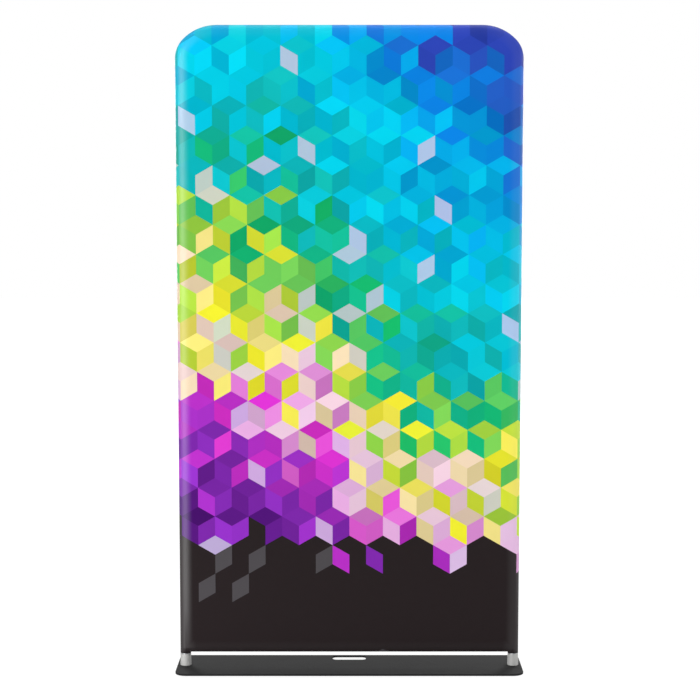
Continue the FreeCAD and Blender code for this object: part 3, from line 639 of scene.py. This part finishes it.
def zipCoil():
    pitch, size = zipLook["toothPitch"], zipLook["toothSize"]
    places = []
    for side in (-1, 1):
        along = chainBox[0].x + size[0] / 2 + (pitch / 2 if side > 0 else 0)
        places.append((along, zipMiddle.y, zipMiddle.z + side * zipLook["toothOffset"]))
    return rowOf("zip_coil", "nylon zip coil", size, places, pitch, chainBox[1].x - chainBox[0].x - size[0])


def zipStitches():
    pitch, size = zipLook["stitchPitch"], zipLook["stitchSize"]
    height = zipBox[1].z - zipMiddle.z + zipLook["stitchInset"]
    face = cover["rear"]["depth"]
    places = [(zipBox[0].x + pitch / 2, face, zipMiddle.z + side * height) for side in (-1, 1)]
    return rowOf("zip_stitches", "polyester thread", size, places, pitch, zipBox[1].x - zipBox[0].x)


tape, coil, stitches = zipTape(), zipCoil(), zipStitches()
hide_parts("zip_tapes")
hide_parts("zip_chain")
for piece, slotName in ((tape, "zip_tape_cloth"), (coil, "zip_nylon"), (stitches, "zip_tape_cloth")):
    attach(piece, "frame")
print("zip sewn in")


# Springs of the snap buttons: copies of the solids

def bendingSpring(name):
    bm = bmesh.new()
    bm.from_mesh(nodes[name].data)
    bmesh.ops.remove_doubles(bm, verts=bm.verts, dist=cover["same"])
    piece = newPiece(f"{name}_strip", bm, mixed["tempered spring steel"])
    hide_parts(name)
    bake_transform(piece)


buttons = [joint for joint in frame["joints"] if joint["child"].endswith("_button")]
for joint in buttons:
    bendingSpring(joint["child"].replace("_button", "_spring"))
print(len(buttons), "springs bent")


# The studio is white to the camera all round
# Reflections find it white behind the stand and on its left, and dim in front of it

studio = {"room": 0.05, "shown": 1.0}


def seenRays(tree):
    # 1 for what the camera, a reflection or a clear part shows, 0 for light on its way
    rays = addNode(tree, "LightPath").outputs
    direct = maths(tree, "MAXIMUM", rays["Is Camera Ray"], rays["Is Glossy Ray"])
    return maths(tree, "MAXIMUM", direct, rays["Is Transmission Ray"])


def shownLevel(tree, coordinate, edges):
    # How white the studio is at a place or in a direction, along each axis from its dim edge to its white one
    place = addNode(tree, "SeparateXYZ", {0: addNode(tree, "TexCoord").outputs[coordinate]}).outputs
    reach = {"To Min": studio["room"], "To Max": studio["shown"]}
    sides = []
    for axis, (dim, white) in edges.items():
        side = addNode(tree, "MapRange", {"Value": place[axis], "From Min": dim, "From Max": white, **reach})
        sides.append(side.outputs[0])
    mirrored = maths(tree, "MAXIMUM", *sides)
    isCamera = addNode(tree, "LightPath").outputs["Is Camera Ray"]
    return addNode(tree, "Mix", {"Factor": isCamera, 2: mirrored, 3: studio["shown"]}).outputs[0]


# Pale floor, which keeps the stand's shadow near by

floor = {
    "size": 40.0,
    "shown": "#8a8a8a",
    "bounce": "#d8d8d8",
    "roomEdges": {"X": (-0.65, -1.0), "Y": (-0.6, 0.3)},
    "glow": (0.84, 1.0),  # near the stand, far from it
    "fade": (1.2, 3.5),  # where the one passes into the other
}
bm = bmesh.new()
bmesh.ops.create_grid(bm, x_segments=1, y_segments=1, size=floor["size"] / 2)
floorMaterial, tree, shader = newMaterial("pale studio floor", {
    "Roughness": 0.9, "Emission Color": (1, 1, 1, 1),
})
newPiece("floor", bm, floorMaterial)
seen = seenRays(tree)
paler = addNode(tree, "MapRange", {
    "Value": lengthOf(tree, addNode(tree, "TexCoord").outputs["Object"]),
    "From Min": floor["fade"][0], "From Max": floor["fade"][1],
    "To Min": floor["glow"][0], "To Max": floor["glow"][1],
}).outputs[0]
lit = maths(tree, "MULTIPLY", shownLevel(tree, "Object", floor["roomEdges"]), paler)
bounce, shown = linearColour(floor["bounce"]), linearColour(floor["shown"])
plug(tree, shader, {
    "Base Color": mixColours(tree, seen, bounce, shown),
    "Emission Strength": maths(tree, "MULTIPLY", seen, lit),
})


# White surroundings, seen brighter than the light that they give

surround = {"light": 0.24, "roomEdges": {"X": (-0.7, -1.0), "Y": (-0.5, 0.3)}}
world = bpy.data.worlds.new("studio")
world.use_nodes = True
bpy.context.scene.world = world
tree = world.node_tree
level = shownLevel(tree, "Generated", surround["roomEdges"])
strength = addNode(tree, "Mix", {"Factor": seenRays(tree), 2: surround["light"], 3: level})
plug(tree, tree.nodes["Background"], {"Color": (1, 1, 1, 1), "Strength": strength.outputs[0]})


# Lamps: soft boxes round the stand, the strongest from the front left, and a small one low at its left foot

lamps = {
    "key": {"place": (-6.0, -10.1, 1.25), "aim": (0, 0, 1.1), "size": (4.0, 2.4), "power": 1020},
    "low": {"place": (-1.08, -0.74, 0.13), "aim": (-0.6, 0, 0.15), "size": (0.55, 0.22), "power": 1.9},
    "side": {"place": (3.4, -0.4, 1.4), "aim": (0.6, 0, 1.2), "size": (3.0, 2.7), "power": 60},
    "top": {"place": (0, -0.35, 4.7), "aim": (0, 0, 2.2), "size": (3.0, 2.0), "power": 55},
    "back left": {"place": (-4.2, 7.3, 1.7), "aim": (0, 0, 1.1), "size": (3.0, 2.4), "power": 270},
    "back right": {"place": (4.2, 7.3, 1.7), "aim": (0, 0, 1.1), "size": (3.0, 2.4), "power": 270},
}
for name, lamp in lamps.items():
    light = bpy.data.lights.new(name, "AREA")
    light.shape = "RECTANGLE"
    light.size, light.size_y = lamp["size"]
    light.energy = lamp["power"]
    lampObject = bpy.data.objects.new(name, light)
    lampObject.location = lamp["place"]
    towards = Vector(lamp["aim"]) - Vector(lamp["place"])
    lampObject.rotation_euler = towards.to_track_quat("-Z", "Y").to_euler()
    bpy.context.scene.collection.objects.link(lampObject)
print("studio lit with", len(lamps), "lamps")
